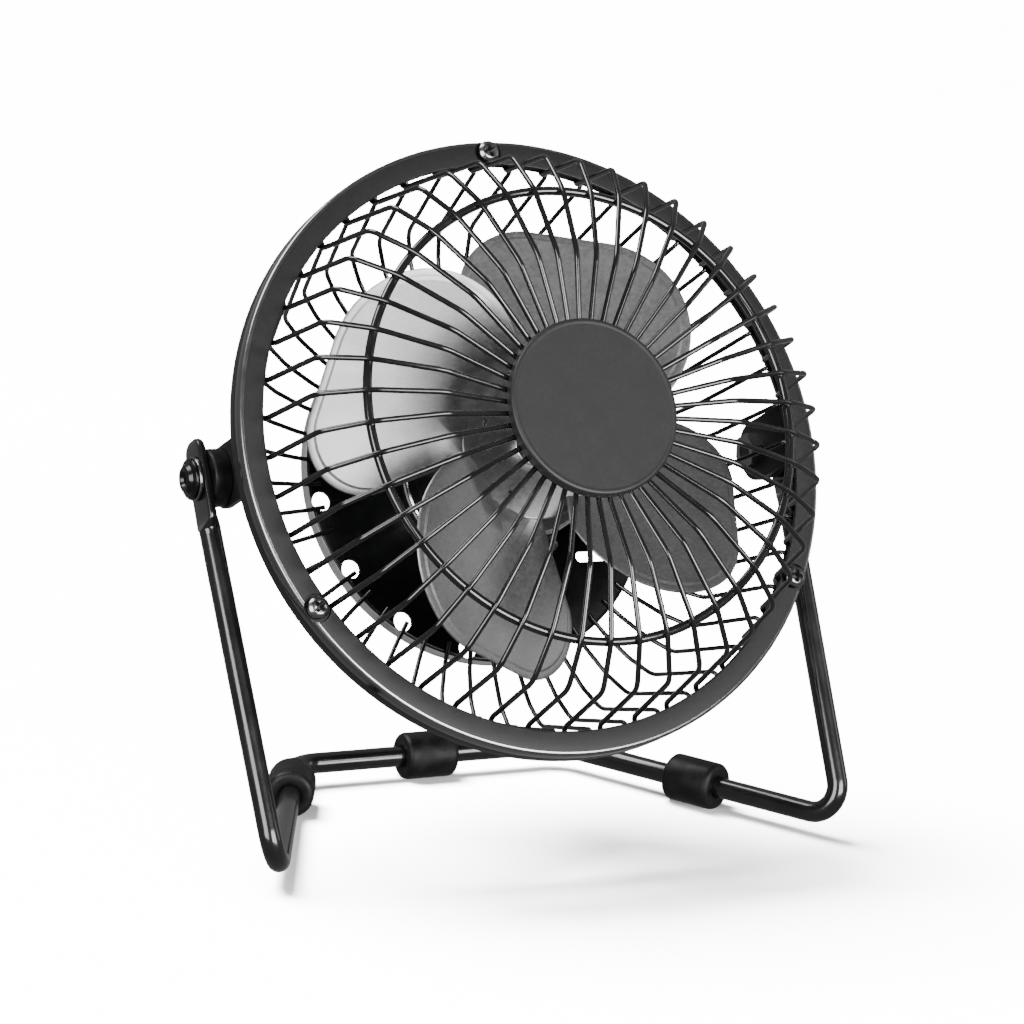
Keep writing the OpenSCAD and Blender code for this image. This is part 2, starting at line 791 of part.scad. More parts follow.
module switch_rocker() {
    // Rocker on a small pin, pressed in on one side at rest
    rocker_l = 11.4;
    rocker_w = switch_w - 2 * switch_wall - 0.5;
    color("#202022") on_fan_axis() translate([0, switch_y, cover_back + 3]) rotate([0, rocker_throw, 0]) {
        difference() {
            translate([-rocker_l / 2, -rocker_w / 2, -4.4]) cube([rocker_l, rocker_w, 5.4]);
            for (s = [-1, 1]) translate([s * 6.5, rocker_w, -24.2]) rotate([90, 0, 0])
                cylinder(r = 20.4, h = 2 * rocker_w, $fn = 160);
        }
        translate([0, (switch_w - 0.1) / 2, 0]) rotate([90, 0, 0]) cylinder(r = rocker_pin_r, h = switch_w - 0.1);
    }
}

inlet_z = plate_back - 5.5;
inlet_neck_r = 2.6;
inlet_bore_r = 1.6;

module cable_inlet() {
    // Rubber grommet that lines the lead's hole in the cover
    flange_r = 3.8;
    color("#0b0b0c") on_fan_axis() translate([0, -cover_r, inlet_z]) rotate([90, 0, 0]) difference() {
        union() {
            translate([0, 0, 0.1]) cylinder(r = flange_r, h = 1.6);
            translate([0, 0, -cover_wall - 0.6]) cylinder(r = inlet_neck_r, h = cover_wall + 0.8);
        }
        translate([0, 0, -6]) cylinder(r = inlet_bore_r, h = 12);
    }
}

stand_frame();
foot_left();
foot_right();
foot_rear();
front_ring();
rear_ring();
front_guard_wires();
front_guard_ring();
front_guard_hub();
badge();
rear_guard_wires();
rear_plate();
pivot_tab_left();
pivot_tab_right();
pivot_spacer_left();
pivot_spacer_right();
pivot_washer_left();
pivot_washer_right();
pivot_bolt_left();
pivot_bolt_right();
pivot_nut_left();
pivot_nut_right();
rim_screws();
rim_nuts();
motor_can();
motor_end_cap();
motor_front_bush();
motor_rear_bush();
motor_magnets();
motor_brushes();
motor_screws();
rear_cover();
cover_screws();
circuit_board();
switch_body();
cable_inlet();
impeller_blades();
impeller_hub();
motor_shaft();
rotor_core();
rotor_windings();
commutator();
switch_rocker();
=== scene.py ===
import json
import math

import bmesh
import bpy
import numpy as np
from mathutils import Matrix, Vector


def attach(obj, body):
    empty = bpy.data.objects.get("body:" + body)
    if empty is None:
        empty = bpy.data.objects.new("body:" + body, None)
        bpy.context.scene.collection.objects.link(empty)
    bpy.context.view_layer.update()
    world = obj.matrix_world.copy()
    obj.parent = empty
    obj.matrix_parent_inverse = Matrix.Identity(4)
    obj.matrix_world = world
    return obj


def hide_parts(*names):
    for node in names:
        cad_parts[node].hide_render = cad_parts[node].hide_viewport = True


# Looks of a small metal desk fan. Shapes are written in millimetres in the frame of the part that
# they belong to, and placed in the CAD frame, which is in metres.
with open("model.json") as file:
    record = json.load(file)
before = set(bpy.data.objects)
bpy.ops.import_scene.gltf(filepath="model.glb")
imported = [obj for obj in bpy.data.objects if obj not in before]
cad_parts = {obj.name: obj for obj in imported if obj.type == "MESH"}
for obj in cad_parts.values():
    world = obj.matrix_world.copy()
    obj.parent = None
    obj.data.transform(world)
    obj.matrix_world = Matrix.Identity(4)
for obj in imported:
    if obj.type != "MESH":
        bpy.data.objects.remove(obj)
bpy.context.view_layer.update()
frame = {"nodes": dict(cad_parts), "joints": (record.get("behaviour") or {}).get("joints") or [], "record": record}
MM = 0.001
FULL_TURN = 2 * math.pi


# ---------- places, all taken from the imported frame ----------

def joint(name):
    return next(j for j in frame["joints"] if j["name"] == name)


def placing(origin, x, y, z):
    """Matrix from millimetres in a local frame to metres in the CAD frame."""
    turn = Matrix((x, y, z)).transposed().to_4x4()
    return Matrix.Translation(origin) @ turn @ Matrix.Scale(MM, 4)


PIVOT = Vector(joint("head_tilt")["pos_m"])
SPIN_AT = Vector(joint("impeller_spin")["pos_m"])
FORWARD = Vector(joint("impeller_spin")["axis"]).normalized()
RIGHT = Vector((1, 0, 0))
UP = FORWARD.cross(RIGHT)
FAN = placing(PIVOT - UP * (PIVOT - SPIN_AT).dot(UP), RIGHT, UP, FORWARD)
HEAD = placing(PIVOT, RIGHT, UP, FORWARD)
GROUND = Matrix.Scale(MM, 4)


def on_pivot(side):
    """Frame on the pivot axis with Z pointing outwards on one side."""
    return placing(PIVOT, Vector((0, 0, -side)), Vector((0, 1, 0)), Vector((side, 0, 0)))


def span(node, place):
    """Lowest and highest corner of a CAD node in a local frame, in millimetres."""
    inverse = np.array(place.inverted())
    points = np.array([v.co for v in frame["nodes"][node].data.vertices])
    local = points @ inverse[:3, :3].T + inverse[:3, 3]
    return local.min(0), local.max(0)


# Heights in the fan's frame run forwards along its axis, from the pivot
RIM_LOW, RIM_HIGH = span("front_ring", FAN)
RIM_BACK = RIM_LOW[2]
RIM_Z = RIM_HIGH[2]
RIM_R = RIM_HIGH[0]
PLATE_LOW, PLATE_HIGH = span("rear_plate", FAN)
PLATE_BACK = PLATE_LOW[2]
PLATE_Z = PLATE_HIGH[2]
PLATE_R = PLATE_HIGH[0]
BADGE_LOW, BADGE_HIGH = span("badge", FAN)
BADGE_R = BADGE_HIGH[0]
BADGE_Z = BADGE_HIGH[2]
HUB_Z = (SPIN_AT - PIVOT).dot(FORWARD) / MM

# Sizes in millimetres that no CAD box gives on its own
ROD_R = 2.3
LEG_TOP_X = 69.0
FRONT_CORNER_X = 66.6
FRONT_CORNER_REACH = 42.8
REAR_CORNER_X = 31.8
FRONT_BEND = 5.5
REAR_BEND = 8
EYE_HOLE_R = 2.08
SLEEVE_R = 5.2
SLEEVE_LENGTH = 12.2
RIM_OPENING_R = 61.6
RIM_SHEET = 0.9
RIM_EDGE_R = 0.8
SCREW_CIRCLE = 64.4
SCREW_ANGLES = (90, 210, 330)
SCREW_HOLE_R = 1.35
SCREW_HEAD_R = 2.4
SCREW_HEAD_HEIGHT = 1.5
WIRE_COUNT = 46
FRONT_WIRE_R = 0.58
REAR_WIRE_R = 0.49
SUPPORT_WIRE_R = 0.95
PAN_SHEET = 0.8
LUG_SHEET = 1.4
LUG_R = 6.5
LUG_INSIDE_X = 62.6
CAN_SHEET = 0.8
BLADE_SHEET = 0.8
BLADE_PITCH = 24
FLAT_CENTRE_R = 15.5


# ---------- mesh helpers ----------

def polar(radius, degrees, height=0.0):
    angle = math.radians(degrees)
    return np.array([radius * math.cos(angle), radius * math.sin(angle), height])


def smoothstep(value):
    value = np.clip(value, 0, 1)
    return value * value * (3 - 2 * value)


def unit(vector):
    return vector / np.linalg.norm(vector)


def bent_path(corners, bends, steps=5):
    """Corners joined by straight lines, each inner corner rounded by its own bend radius."""
    corners = [np.array(c, float) for c in corners]
    points = [corners[0]]
    for before, corner, after, radius in zip(corners, corners[1:], corners[2:], bends[1:]):
        arriving = unit(corner - before)
        leaving = unit(after - corner)
        turn = math.acos(np.clip(arriving @ leaving, -1, 1))
        inward = unit(leaving - (arriving @ leaving) * arriving)
        middle = corner - arriving * radius * math.tan(turn / 2) + inward * radius
        for k in range(steps + 1):
            a = turn * k / steps
            points.append(middle + radius * (arriving * math.sin(a) - inward * math.cos(a)))
    points.append(corners[-1])
    return np.array(points)


def rounded(outline, radii, steps=4):
    """A closed flat outline with each corner rounded by its own radius."""
    count = len(outline)
    points = []
    for i in range(count):
        before, corner, after = outline[i - 1], outline[i], outline[(i + 1) % count]
        if radii[i] == 0:
            points.append(np.array(corner, float))
        else:
            points.extend(bent_path([before, corner, after], [0, radii[i]], steps)[1:-1])
    return np.array(points)


def lathe(profile, steps=128, closed=True):
    """A [radius, height] outline turned round Z."""
    profile = np.array(profile, float)
    count = len(profile)
    angles = np.arange(steps) * FULL_TURN / steps
    x = np.outer(np.cos(angles), profile[:, 0])
    y = np.outer(np.sin(angles), profile[:, 0])
    z = np.tile(profile[:, 1], (steps, 1))
    verts = np.stack([x, y, z], axis=2).reshape(-1, 3)
    faces = []
    for i in range(steps):
        here = i * count
        there = (i + 1) % steps * count
        for j in range(count if closed else count - 1):
            k = (j + 1) % count
            faces.append((here + j, here + k, there + k, there + j))
    return verts, faces


def turning_sides(path, first_side, last_side=None):
    """Unit vectors square to a path that turn with it, ending on last_side if it is given."""
    tangents = np.gradient(path, axis=0)
    tangents /= np.linalg.norm(tangents, axis=1)[:, None]
    side = np.array(first_side, float)
    sides = []
    for tangent in tangents:
        side = unit(side - (side @ tangent) * tangent)
        sides.append(side)
    sides = np.array(sides)
    others = np.cross(tangents, sides)
    if last_side is not None:
        wanted = np.array(last_side, float)
        twist = math.atan2(wanted @ others[-1], wanted @ sides[-1])
        share = np.linspace(0, twist, len(path))[:, None]
        sides, others = (np.cos(share) * sides + np.sin(share) * others,
                         np.cos(share) * others - np.sin(share) * sides)
    return sides, others


def bar(path, half_width, half_height, sides=10, power=2, first_side=(0, 0, 1), last_side=None):
    """A bar along a path. Sizes and power may change along it; power 2 is round, more is squarer."""
    count = len(path)
    across, along = turning_sides(path, first_side, last_side)
    width = np.broadcast_to(half_width, count)[:, None]
    height = np.broadcast_to(half_height, count)[:, None]
    shape = 2 / np.broadcast_to(power, count)[:, None]
    angles = np.arange(sides) * FULL_TURN / sides
    cosine = np.cos(angles)[None]
    sine = np.sin(angles)[None]
    u = width * np.sign(cosine) * np.abs(cosine) ** shape
    v = height * np.sign(sine) * np.abs(sine) ** shape
    rings = path[:, None] + u[..., None] * across[:, None] + v[..., None] * along[:, None]
    verts = rings.reshape(-1, 3)
    faces = []
    for i in range(count - 1):
        for j in range(sides):
            k = (j + 1) % sides
            faces.append((i * sides + j, i * sides + k, (i + 1) * sides + k, (i + 1) * sides + j))
    faces.append(tuple(range(sides)))
    faces.append(tuple((count - 1) * sides + j for j in range(sides)))
    return verts, faces


def prism(levels):
    """A solid through flat outlines, given from the bottom up as (outline, height)."""
    count = len(levels[0][0])
    verts = np.concatenate([np.column_stack([o, np.full(count, z)]) for o, z in levels])
    faces = [tuple(range(count)), tuple((len(levels) - 1) * count + j for j in range(count))]
    for i in range(len(levels) - 1):
        for j in range(count):
            k = (j + 1) % count
            faces.append((i * count + j, i * count + k, (i + 1) * count + k, (i + 1) * count + j))
    return verts, faces


def soft_plate(outline, low, high, edge):
    """A flat plate with its edges eased by two small steps."""
    middle = outline.mean(0)
    reach = np.abs(outline - middle).max()
    inner = middle + (outline - middle) * (1 - edge / reach)
    nearly = middle + (outline - middle) * (1 - 0.3 * edge / reach)
    return prism([(inner, low), (nearly, low + 0.3 * edge), (outline, low + edge),
                  (outline, high - edge), (nearly, high - 0.3 * edge), (inner, high)])


def circle(radius, steps=32):
    angles = np.arange(steps) * FULL_TURN / steps
    return radius * np.column_stack([np.cos(angles), np.sin(angles)])


def drill(radius, low, high, steps=32):
    """A round cutter standing along Z."""
    return prism([(circle(radius, steps), low), (circle(radius, steps), high)])


def moved(shape, shift=(0, 0, 0), turn=0):
    """A shape turned about Z by some degrees and then shifted."""
    verts, faces = shape
    c = math.cos(math.radians(turn))
    s = math.sin(math.radians(turn))
    spin = np.array([[c, -s, 0], [s, c, 0], [0, 0, 1]])
    return verts @ spin.T + np.array(shift, float), faces


def joined(shapes):
    verts = []
    faces = []
    base = 0
    for points, polygons in shapes:
        verts.append(points)
        faces.extend(tuple(base + i for i in polygon) for polygon in polygons)
        base += len(points)
    return np.concatenate(verts), faces


def around(shape, radius, angles):
    """Copies of a shape on a circle round the axis, as one shape."""
    return joined([moved(shape, polar(radius, a)) for a in angles])


def clean(mesh, sharp):
    """Merges doubled points, points the faces outwards and shades smooth but for sharp edges."""
    edit = bmesh.new()
    edit.from_mesh(mesh)
    bmesh.ops.remove_doubles(edit, verts=edit.verts, dist=2e-6)
    bmesh.ops.recalc_face_normals(edit, faces=edit.faces)
    edit.to_mesh(mesh)
    edit.free()
    mesh.polygons.foreach_set("use_smooth", [True] * len(mesh.polygons))
    mesh.set_sharp_from_angle(angle=math.radians(sharp))


def mesh_object(name, shape, place, sharp=35):
    verts, faces = shape
    matrix = np.array(place)
    world = verts @ matrix[:3, :3].T + matrix[:3, 3]
    mesh = bpy.data.meshes.new(name)
    mesh.from_pydata(world.tolist(), [], faces)
    clean(mesh, sharp)
    made = bpy.data.objects.new(name, mesh)
    bpy.context.scene.collection.objects.link(made)
    return made


def cut_away(piece, shape, place, sharp=35):
    """Cuts a closed shape out of a piece."""
    tool = mesh_object("cutter", shape, place)
    cutting = piece.modifiers.new("cut", "BOOLEAN")
    cutting.operation = "DIFFERENCE"
    cutting.solver = "EXACT"
    cutting.use_self = True
    cutting.object = tool
    graph = bpy.context.evaluated_depsgraph_get()
    result = bpy.data.meshes.new_from_object(piece.evaluated_get(graph))
    piece.modifiers.clear()
    piece.data = result
    result.name = piece.name
    bpy.data.objects.remove(tool)
    clean(result, sharp)


def settle(piece, body, slot, *nodes):
    """Gives a finished piece its material, its body and the CAD nodes that it stands for."""
    piece.data.materials.clear()
    piece.data.materials.append(MATERIALS[slot])
    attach(piece, body)
    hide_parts(*nodes)
    return piece


# ---------- material helpers ----------

def plain(name, colour, metallic, roughness, coat=0.0, shine=0.5):
    material = bpy.data.materials.new(name)
    material.use_nodes = True
    inputs = material.node_tree.nodes["Principled BSDF"].inputs
    inputs["Base Color"].default_value = (*colour, 1)
    inputs["Metallic"].default_value = metallic
    inputs["Roughness"].default_value = roughness
    inputs["Coat Weight"].default_value = coat
    inputs["Specular IOR Level"].default_value = shine
    inputs["Coat Roughness"].default_value = 0.08
    return material


def socket(material, name):
    return material.node_tree.nodes["Principled BSDF"].inputs[name]


def node(material, kind):
    return material.node_tree.nodes.new(kind)


def link(material, source, target):
    material.node_tree.links.new(source, target)


def grain(material, size, detail=2.0, stretch=(1, 1, 1)):
    """Noise with features of about the given size in millimetres, along the fan's own axes."""
    where = node(material, "ShaderNodeTexCoord")
    turn = node(material, "ShaderNodeMapping")
    turn.inputs["Rotation"].default_value = (math.asin(FORWARD.z) - math.pi / 2, 0, 0)
    scale = node(material, "ShaderNodeMapping")
    scale.inputs["Scale"].default_value = [1 / (MM * size * s) for s in stretch]
    noise = node(material, "ShaderNodeTexNoise")
    noise.inputs["Scale"].default_value = 1
    noise.inputs["Detail"].default_value = detail
    link(material, where.outputs["Object"], turn.inputs["Vector"])
    link(material, turn.outputs["Vector"], scale.inputs["Vector"])
    link(material, scale.outputs["Vector"], noise.inputs["Vector"])
    return noise.outputs["Fac"]


def ranged(material, source, low, high, start=0.35, end=0.65):
    """A value from low to high as the source goes from start to end."""
    span_node = node(material, "ShaderNodeMapRange")
    span_node.inputs["From Min"].default_value = start
    span_node.inputs["From Max"].default_value = end
    span_node.inputs["To Min"].default_value = low
    span_node.inputs["To Max"].default_value = high
    link(material, source, span_node.inputs["Value"])
    return span_node.outputs["Result"]


def mottled(material, source, dark, light):
    """Colours a material between two colours by a value from 0 to 1."""
    blend = node(material, "ShaderNodeMix")
    blend.data_type = "RGBA"
    blend.inputs["A"].default_value = (*dark, 1)
    blend.inputs["B"].default_value = (*light, 1)
    link(material, source, blend.inputs["Factor"])
    link(material, blend.outputs["Result"], socket(material, "Base Color"))


def roughened(material, source, low, high):
    link(material, ranged(material, source, low, high), socket(material, "Roughness"))


def bumped(material, *layers):
    """Bump from layers of (source, height in millimetres), one on top of another."""
    previous = None
    for source, height in layers:
        bump = node(material, "ShaderNodeBump")
        bump.inputs["Strength"].default_value = 1
        bump.inputs["Distance"].default_value = height * MM
        link(material, source, bump.inputs["Height"])
        if previous is not None:
            link(material, previous, bump.inputs["Normal"])
        previous = bump.outputs["Normal"]
    link(material, previous, socket(material, "Normal"))


def grey(value):
    return (value, value, value * 1.02)


# ---------- materials ----------

def gloss_paint(name, dark, light, low, high, shine=0.5):
    """Gloss enamel with a faint orange peel, slight haze and dust-fine specks."""
    material = plain(name, grey(dark), 0, low, coat=0.3, shine=shine)
    haze = grain(material, 9, 3)
    mottled(material, ranged(material, haze, 0, 1), grey(dark), grey(light))
    roughened(material, haze, low, high)
    bumped(material, (grain(material, 1.4, 1), 0.012), (grain(material, 0.3, 1), 0.0015))
    return material


def powder_paint(name, dark, light, rough, height=0.003):
    """Satin paint with a fine sandy grain."""
    material = plain(name, grey(dark), 0, rough, shine=0.25)
    patches = grain(material, 5, 4)
    fine = grain(material, 0.35, 2)
    both = node(material, "ShaderNodeMath")
    both.operation = "MULTIPLY"
    link(material, ranged(material, patches, 0.55, 1), both.inputs[0])
    link(material, ranged(material, fine, 0.35, 1), both.inputs[1])
    mottled(material, both.outputs[0], grey(dark), grey(light))
    roughened(material, fine, rough - 0.03, rough + 0.05)
    bumped(material, (grain(material, 0.9, 2), height), (fine, height))
    return material


def rubber(name, dark, light):
    """Matt moulded rubber with a fine skin and paler dusty patches."""
    material = plain(name, grey(dark), 0, 0.5, shine=0.2)
    dust = grain(material, 4, 4)
    mottled(material, ranged(material, dust, 0, 1, 0.45, 0.75), grey(dark), grey(light))
    roughened(material, dust, 0.38, 0.6)
    bumped(material, (grain(material, 0.25, 2), 0.02), (grain(material, 1.5, 2), 0.02))
    return material


def bare_metal(name, dark, light, low, high, size=0.6, stretch=(1, 1, 1), height=0.006, metallic=1.0):
    """Metal with a directional or mottled grain and slight stains."""
    material = plain(name, dark, metallic, low)
    marks = grain(material, size, 3, stretch)
    stains = grain(material, 7, 3)
    both = node(material, "ShaderNodeMath")
    both.operation = "MULTIPLY"
    link(material, ranged(material, marks, 0.55, 1, 0.25, 0.75), both.inputs[0])
    link(material, ranged(material, stains, 0.7, 1), both.inputs[1])
    mottled(material, both.outputs[0], dark, light)
    roughened(material, marks, low, high)
    bumped(material, (marks, height), (grain(material, size * 0.4, 1), height * 0.3))
    return material


def plastic(name, dark, light, rough):
    """Moulded plastic with a spark-eroded texture and faint flow marks."""
    material = plain(name, dark, 0, rough)
    flow = grain(material, 6, 2, (1, 3, 1))
    mottled(material, ranged(material, flow, 0, 1), dark, light)
    skin = grain(material, 0.4, 2)
    roughened(material, skin, rough - 0.06, rough + 0.1)
    bumped(material, (skin, 0.012), (flow, 0.01))
    return material


MATERIALS = {
    "black_enamel": gloss_paint("black_enamel", 0.0025, 0.005, 0.17, 0.25),
    "wire_enamel": gloss_paint("wire_enamel", 0.0015, 0.0035, 0.12, 0.2),
    "rim_side": gloss_paint("rim_side", 0.003, 0.006, 0.12, 0.18, 0.8),
    # Pale bare metal for the ring's rounded outer edge: a painted highlight line along the edge
    "rim_edge_highlight": bare_metal("rim_edge_highlight", grey(0.16), grey(0.21), 0.22, 0.26, 2.5, (1, 1, 1), 0.0004),
    # Near-black plastic for the inside of the screws' cross recesses: painted shade in the recesses
    "recess_painted_shade": plastic("recess_painted_shade", grey(0.003), grey(0.006), 0.5),
    "plate_enamel": gloss_paint("plate_enamel", 0.0008, 0.0016, 0.28, 0.4, 0.15),
    # Pale metal for the pan's outer wall: a painted reflection of the bright surroundings on the dark wall
    "pan_wall_reflection": bare_metal("pan_wall_reflection", grey(0.6), grey(0.78), 0.3, 0.42, 0.8),
    "rim_enamel": powder_paint("rim_enamel", 0.0055, 0.0085, 0.38),
    "badge_enamel": powder_paint("badge_enamel", 0.009, 0.0145, 0.38, 0.0014),
    "foot_rubber": rubber("foot_rubber", 0.0025, 0.006),
    "spacer_rubber": rubber("spacer_rubber", 0.002, 0.005),
    "dark_zinc": bare_metal("dark_zinc", grey(0.1), grey(0.24), 0.14, 0.26, 0.5),
    "bolt_black": bare_metal("bolt_black", grey(0.02), grey(0.035), 0.18, 0.28, 0.6),
    "motor_steel": bare_metal("motor_steel", grey(0.55), grey(0.8), 0.1, 0.2, 0.5, (30, 30, 1), 0.002),
    "shaft_steel": bare_metal("shaft_steel", grey(0.5), grey(0.75), 0.12, 0.22, 0.3, (20, 20, 1), 0.002),
    "core_steel": bare_metal("core_steel", grey(0.18), grey(0.3), 0.35, 0.5, 0.5, (30, 30, 1), 0.03),
    "hub_aluminium": bare_metal("hub_aluminium", grey(0.5), grey(0.8), 0.22, 0.34, 0.4, (10, 10, 1)),
    "blade_aluminium": bare_metal("blade_aluminium", grey(0.15), grey(0.3), 0.35, 0.43, 0.5,
                                  (2.5, 1, 1), 0.002, 0.95),
    "bronze": bare_metal("bronze", (0.32, 0.19, 0.06), (0.5, 0.32, 0.13), 0.35, 0.5, 0.3),
    "brush_copper": bare_metal("brush_copper", (0.4, 0.17, 0.08), (0.62, 0.3, 0.15), 0.3, 0.45, 0.3),
    "winding_copper": bare_metal("winding_copper", (0.36, 0.1, 0.03), (0.7, 0.28, 0.1), 0.22, 0.36, 0.3,
                                 (1, 1, 20), 0.05),
    "ferrite": powder_paint("ferrite", 0.02, 0.045, 0.6),
    "motor_plastic": plastic("motor_plastic", grey(0.5), grey(0.62), 0.4),
    "cover_plastic": plastic("cover_plastic", grey(0.008), grey(0.014), 0.4),
    "switch_plastic": plastic("switch_plastic", grey(0.012), grey(0.02), 0.35),
    "rocker_plastic": plastic("rocker_plastic", grey(0.01), grey(0.016), 0.25),
    "board_green": plastic("board_green", (0.01, 0.09, 0.04), (0.02, 0.15, 0.07), 0.3),
}


def finish_carried_nodes():
    """Gives each CAD node its own slot's procedural material."""
    for part in frame["record"]["subparts"]:
        data = frame["nodes"][part["node"]].data
        data.materials.clear()
        data.materials.append(MATERIALS[part["material_slot"]])


# ---------- stand ----------

def rod_corners():
    """Corners of the bent rod's middle line, in millimetres, from the pivot and the rear sleeve."""
    rear_low, rear_high = span("foot_rear", GROUND)
    pivot = np.array(PIVOT) / MM
    axis_z = rear_high[2] - SLEEVE_R
    rear_y = (rear_low[1] + rear_high[1]) / 2
    front = np.array([FRONT_CORNER_X, pivot[1] - FRONT_CORNER_REACH, axis_z])
    rear = np.array([REAR_CORNER_X, rear_y, axis_z])
    top = np.array([LEG_TOP_X, pivot[1], pivot[2]])
    return top, front, rear


def mirrored(point):
    return point * np.array([-1, 1, 1])


def stand_frame():
    """One rod, its two ends pressed flat into eyes for the pivot bolts."""
    top, front, rear = rod_corners()
    down = unit(front - top)
    flat_down = unit(down * np.array([0, 1, 1]))
    # Distances along a leg from the bolt, from the tip of the eye to the round rod
    eye_steps = np.array([-8.2, -8.0, -7.4, -6.6, -5.2, -2.0, 2.0, 5.0, 8.0, 9.2, 9.7, 10.3, 10.9,
                          11.4, 12.6, 14.0])
    eye_end = 9.0
    pressed_length = 2.2
    change = smoothstep((eye_steps - eye_end) / pressed_length)
    tip_start = -5.2
    tip_length = 3.05
    past_start = (tip_start - np.minimum(eye_steps, tip_start)) / tip_length
    end_round = np.sqrt(np.clip(1 - past_start ** 2, 0, 1))
    half_width = (1.1 + 2.9 * end_round) * (1 - change) + ROD_R * change
    half_height = (0.35 + 0.55 * end_round) * (1 - change) + ROD_R * change
    power = 7 * (1 - change) + 2 * change
    eye = np.array([top + (flat_down * (1 - c) + down * c) * s for s, c in zip(eye_steps, change)])
    run = bent_path([eye[-1], front, rear, mirrored(rear), mirrored(front), mirrored(eye[-1])],
                    [0, FRONT_BEND, REAR_BEND, REAR_BEND, FRONT_BEND], 12)[1:-1]
    path = np.concatenate([eye, run, mirrored(eye[::-1])])
    round_part = np.full(len(run), ROD_R)
    widths = np.concatenate([half_width, round_part, half_width[::-1]])
    heights = np.concatenate([half_height, round_part, half_height[::-1]])
    powers = np.concatenate([power, np.full(len(run), 2), power[::-1]])
    across = np.cross(flat_down, [1, 0, 0])
    shape = bar(path, widths, heights, 28, powers, across, across)
    piece = mesh_object("stand_rod", shape, GROUND, 50)
    for side in (-1, 1):
        cut_away(piece, drill(EYE_HOLE_R, 60, 76, 40), on_pivot(side), 50)
    settle(piece, "stand", "black_enamel", "stand_frame")


def sleeve(name, node_name, middle, direction):
    """Rubber sleeve on the rod: rounded rims, a fine mould line along it, flattened by its load."""
    length = SLEEVE_LENGTH
    bore = ROD_R + 0.02
    mouth = 2.7
    ease = 1.3
    profile = rounded([[bore, 0.3], [mouth, 0], [SLEEVE_R, 0], [SLEEVE_R, length], [mouth, length],
                       [bore, length - 0.3]], [0, 0, ease, ease, 0, 0], 6)
    verts, faces = lathe(profile, 120)
    angle = np.degrees(np.arctan2(verts[:, 1], verts[:, 0]))
    radius = np.hypot(verts[:, 0], verts[:, 1])
    on_line = (np.abs(np.abs(angle) - 90) < 1.6) & (radius > SLEEVE_R - 0.9)
    ribs = np.where(on_line, 1.018, 1.0)
    waist = 1 - 0.012 * np.sin(np.pi * np.clip(verts[:, 2] / length, 0, 1)) * (radius > 4)
    verts[:, :2] *= (ribs * waist)[:, None]
    z = Vector(direction).normalized()
    x = Vector((0, 0, 1)).cross(z).normalized()
    place = placing(Vector(middle - np.array(direction) * length / 2) * MM, x, z.cross(x), z)
    piece = mesh_object(name, (verts, faces), place, 40)
    low, high = span(node_name, GROUND)
    for vertex in piece.data.vertices:
        vertex.co.z = max(vertex.co.z, low[2] * MM)
        vertex.co.z = min(vertex.co.z, high[2] * MM)
    settle(piece, "stand", "foot_rubber", node_name)


def sleeves():
    """Two sleeves on the side runs and one on the rear bar."""
    front, rear = rod_corners()[1:]
    for node_name, side in (("foot_left", -1), ("foot_right", 1)):
        low, high = span(node_name, GROUND)
        middle = np.array([*(low + high)[:2] / 2, rear[2]])
        direction = unit((rear - front) * np.array([side, 1, 1]))
        sleeve(node_name + "_sleeve", node_name, middle, direction)
    sleeve("foot_rear_sleeve", "foot_rear", np.array([0, rear[1], rear[2]]), np.array([1.0, 0, 0]))


# ---------- rim ----------

def front_ring():
    """Pressed ring: flat flange with a weld mark and screw pockets, rounded edge, turned-back skirt."""
    inner = RIM_OPENING_R
    profile = rounded([
        [inner, RIM_Z - RIM_SHEET], [inner, RIM_Z], [RIM_R, RIM_Z], [RIM_R, RIM_BACK],
        [RIM_R - RIM_SHEET, RIM_BACK], [RIM_R - RIM_SHEET, RIM_Z - RIM_SHEET]
    ], [0.25, 0.35, RIM_EDGE_R, 0.25, 0.25, 0.3], 6)
    verts, faces = lathe(profile, 360)
    angle = np.degrees(np.arctan2(verts[:, 1], verts[:, 0]))
    radius = np.hypot(verts[:, 0], verts[:, 1])
    weld_angle = 158.5
    weld_depth = 0.14
    weld = (np.abs(angle - weld_angle) < 0.9) & (radius < RIM_R - RIM_EDGE_R)
    verts[:, 2] -= np.where(weld & (verts[:, 2] > RIM_Z - 0.3), weld_depth, 0)
    piece = mesh_object("front_rim", (verts, faces), FAN)
    pocket = prism([(circle(2.95, 48), RIM_Z - 0.6), (circle(3.05, 48), RIM_Z + 0.2)])
    cut_away(piece, around(pocket, SCREW_CIRCLE, SCREW_ANGLES), FAN)
    hole = drill(SCREW_HOLE_R, RIM_Z - 3, RIM_Z + 1)
    cut_away(piece, around(hole, SCREW_CIRCLE, SCREW_ANGLES), FAN)
    settle(piece, "head", "rim_enamel", "front_ring")
    on_edge = 0.9 * RIM_EDGE_R
    paint_faces(piece, "rim_side", lambda at: np.hypot(at[0], at[1]) > RIM_R - on_edge)
    # The rounded outer edge gets pale bare metal instead of black paint: a painted highlight along the edge
    paint_faces(piece, "rim_edge_highlight", lambda at: np.hypot(at[0], at[1]) > RIM_R - on_edge
                and at[2] > RIM_Z - on_edge)


def rear_ring():
    """Rear half of the rim: a flange with a short turned-back lip."""
    low, high = span("rear_ring", FAN)
    front = high[2]
    inner = 62.3
    outer = RIM_R - 0.05
    inside = RIM_R - 0.85
    profile = rounded([
        [inner, front - RIM_SHEET], [inner, front], [outer, front], [outer, low[2]],
        [inside, low[2]], [inside, front - RIM_SHEET]
    ], [0.3, 0.3, 0.5, 0.3, 0.3, 0.4], 4)
    piece = mesh_object("rear_rim", lathe(profile, 320), FAN)
    hole = drill(SCREW_HOLE_R, front - 3, front + 1)
    cut_away(piece, around(hole, SCREW_CIRCLE, SCREW_ANGLES), FAN)
    settle(piece, "head", "rim_enamel", "rear_ring")


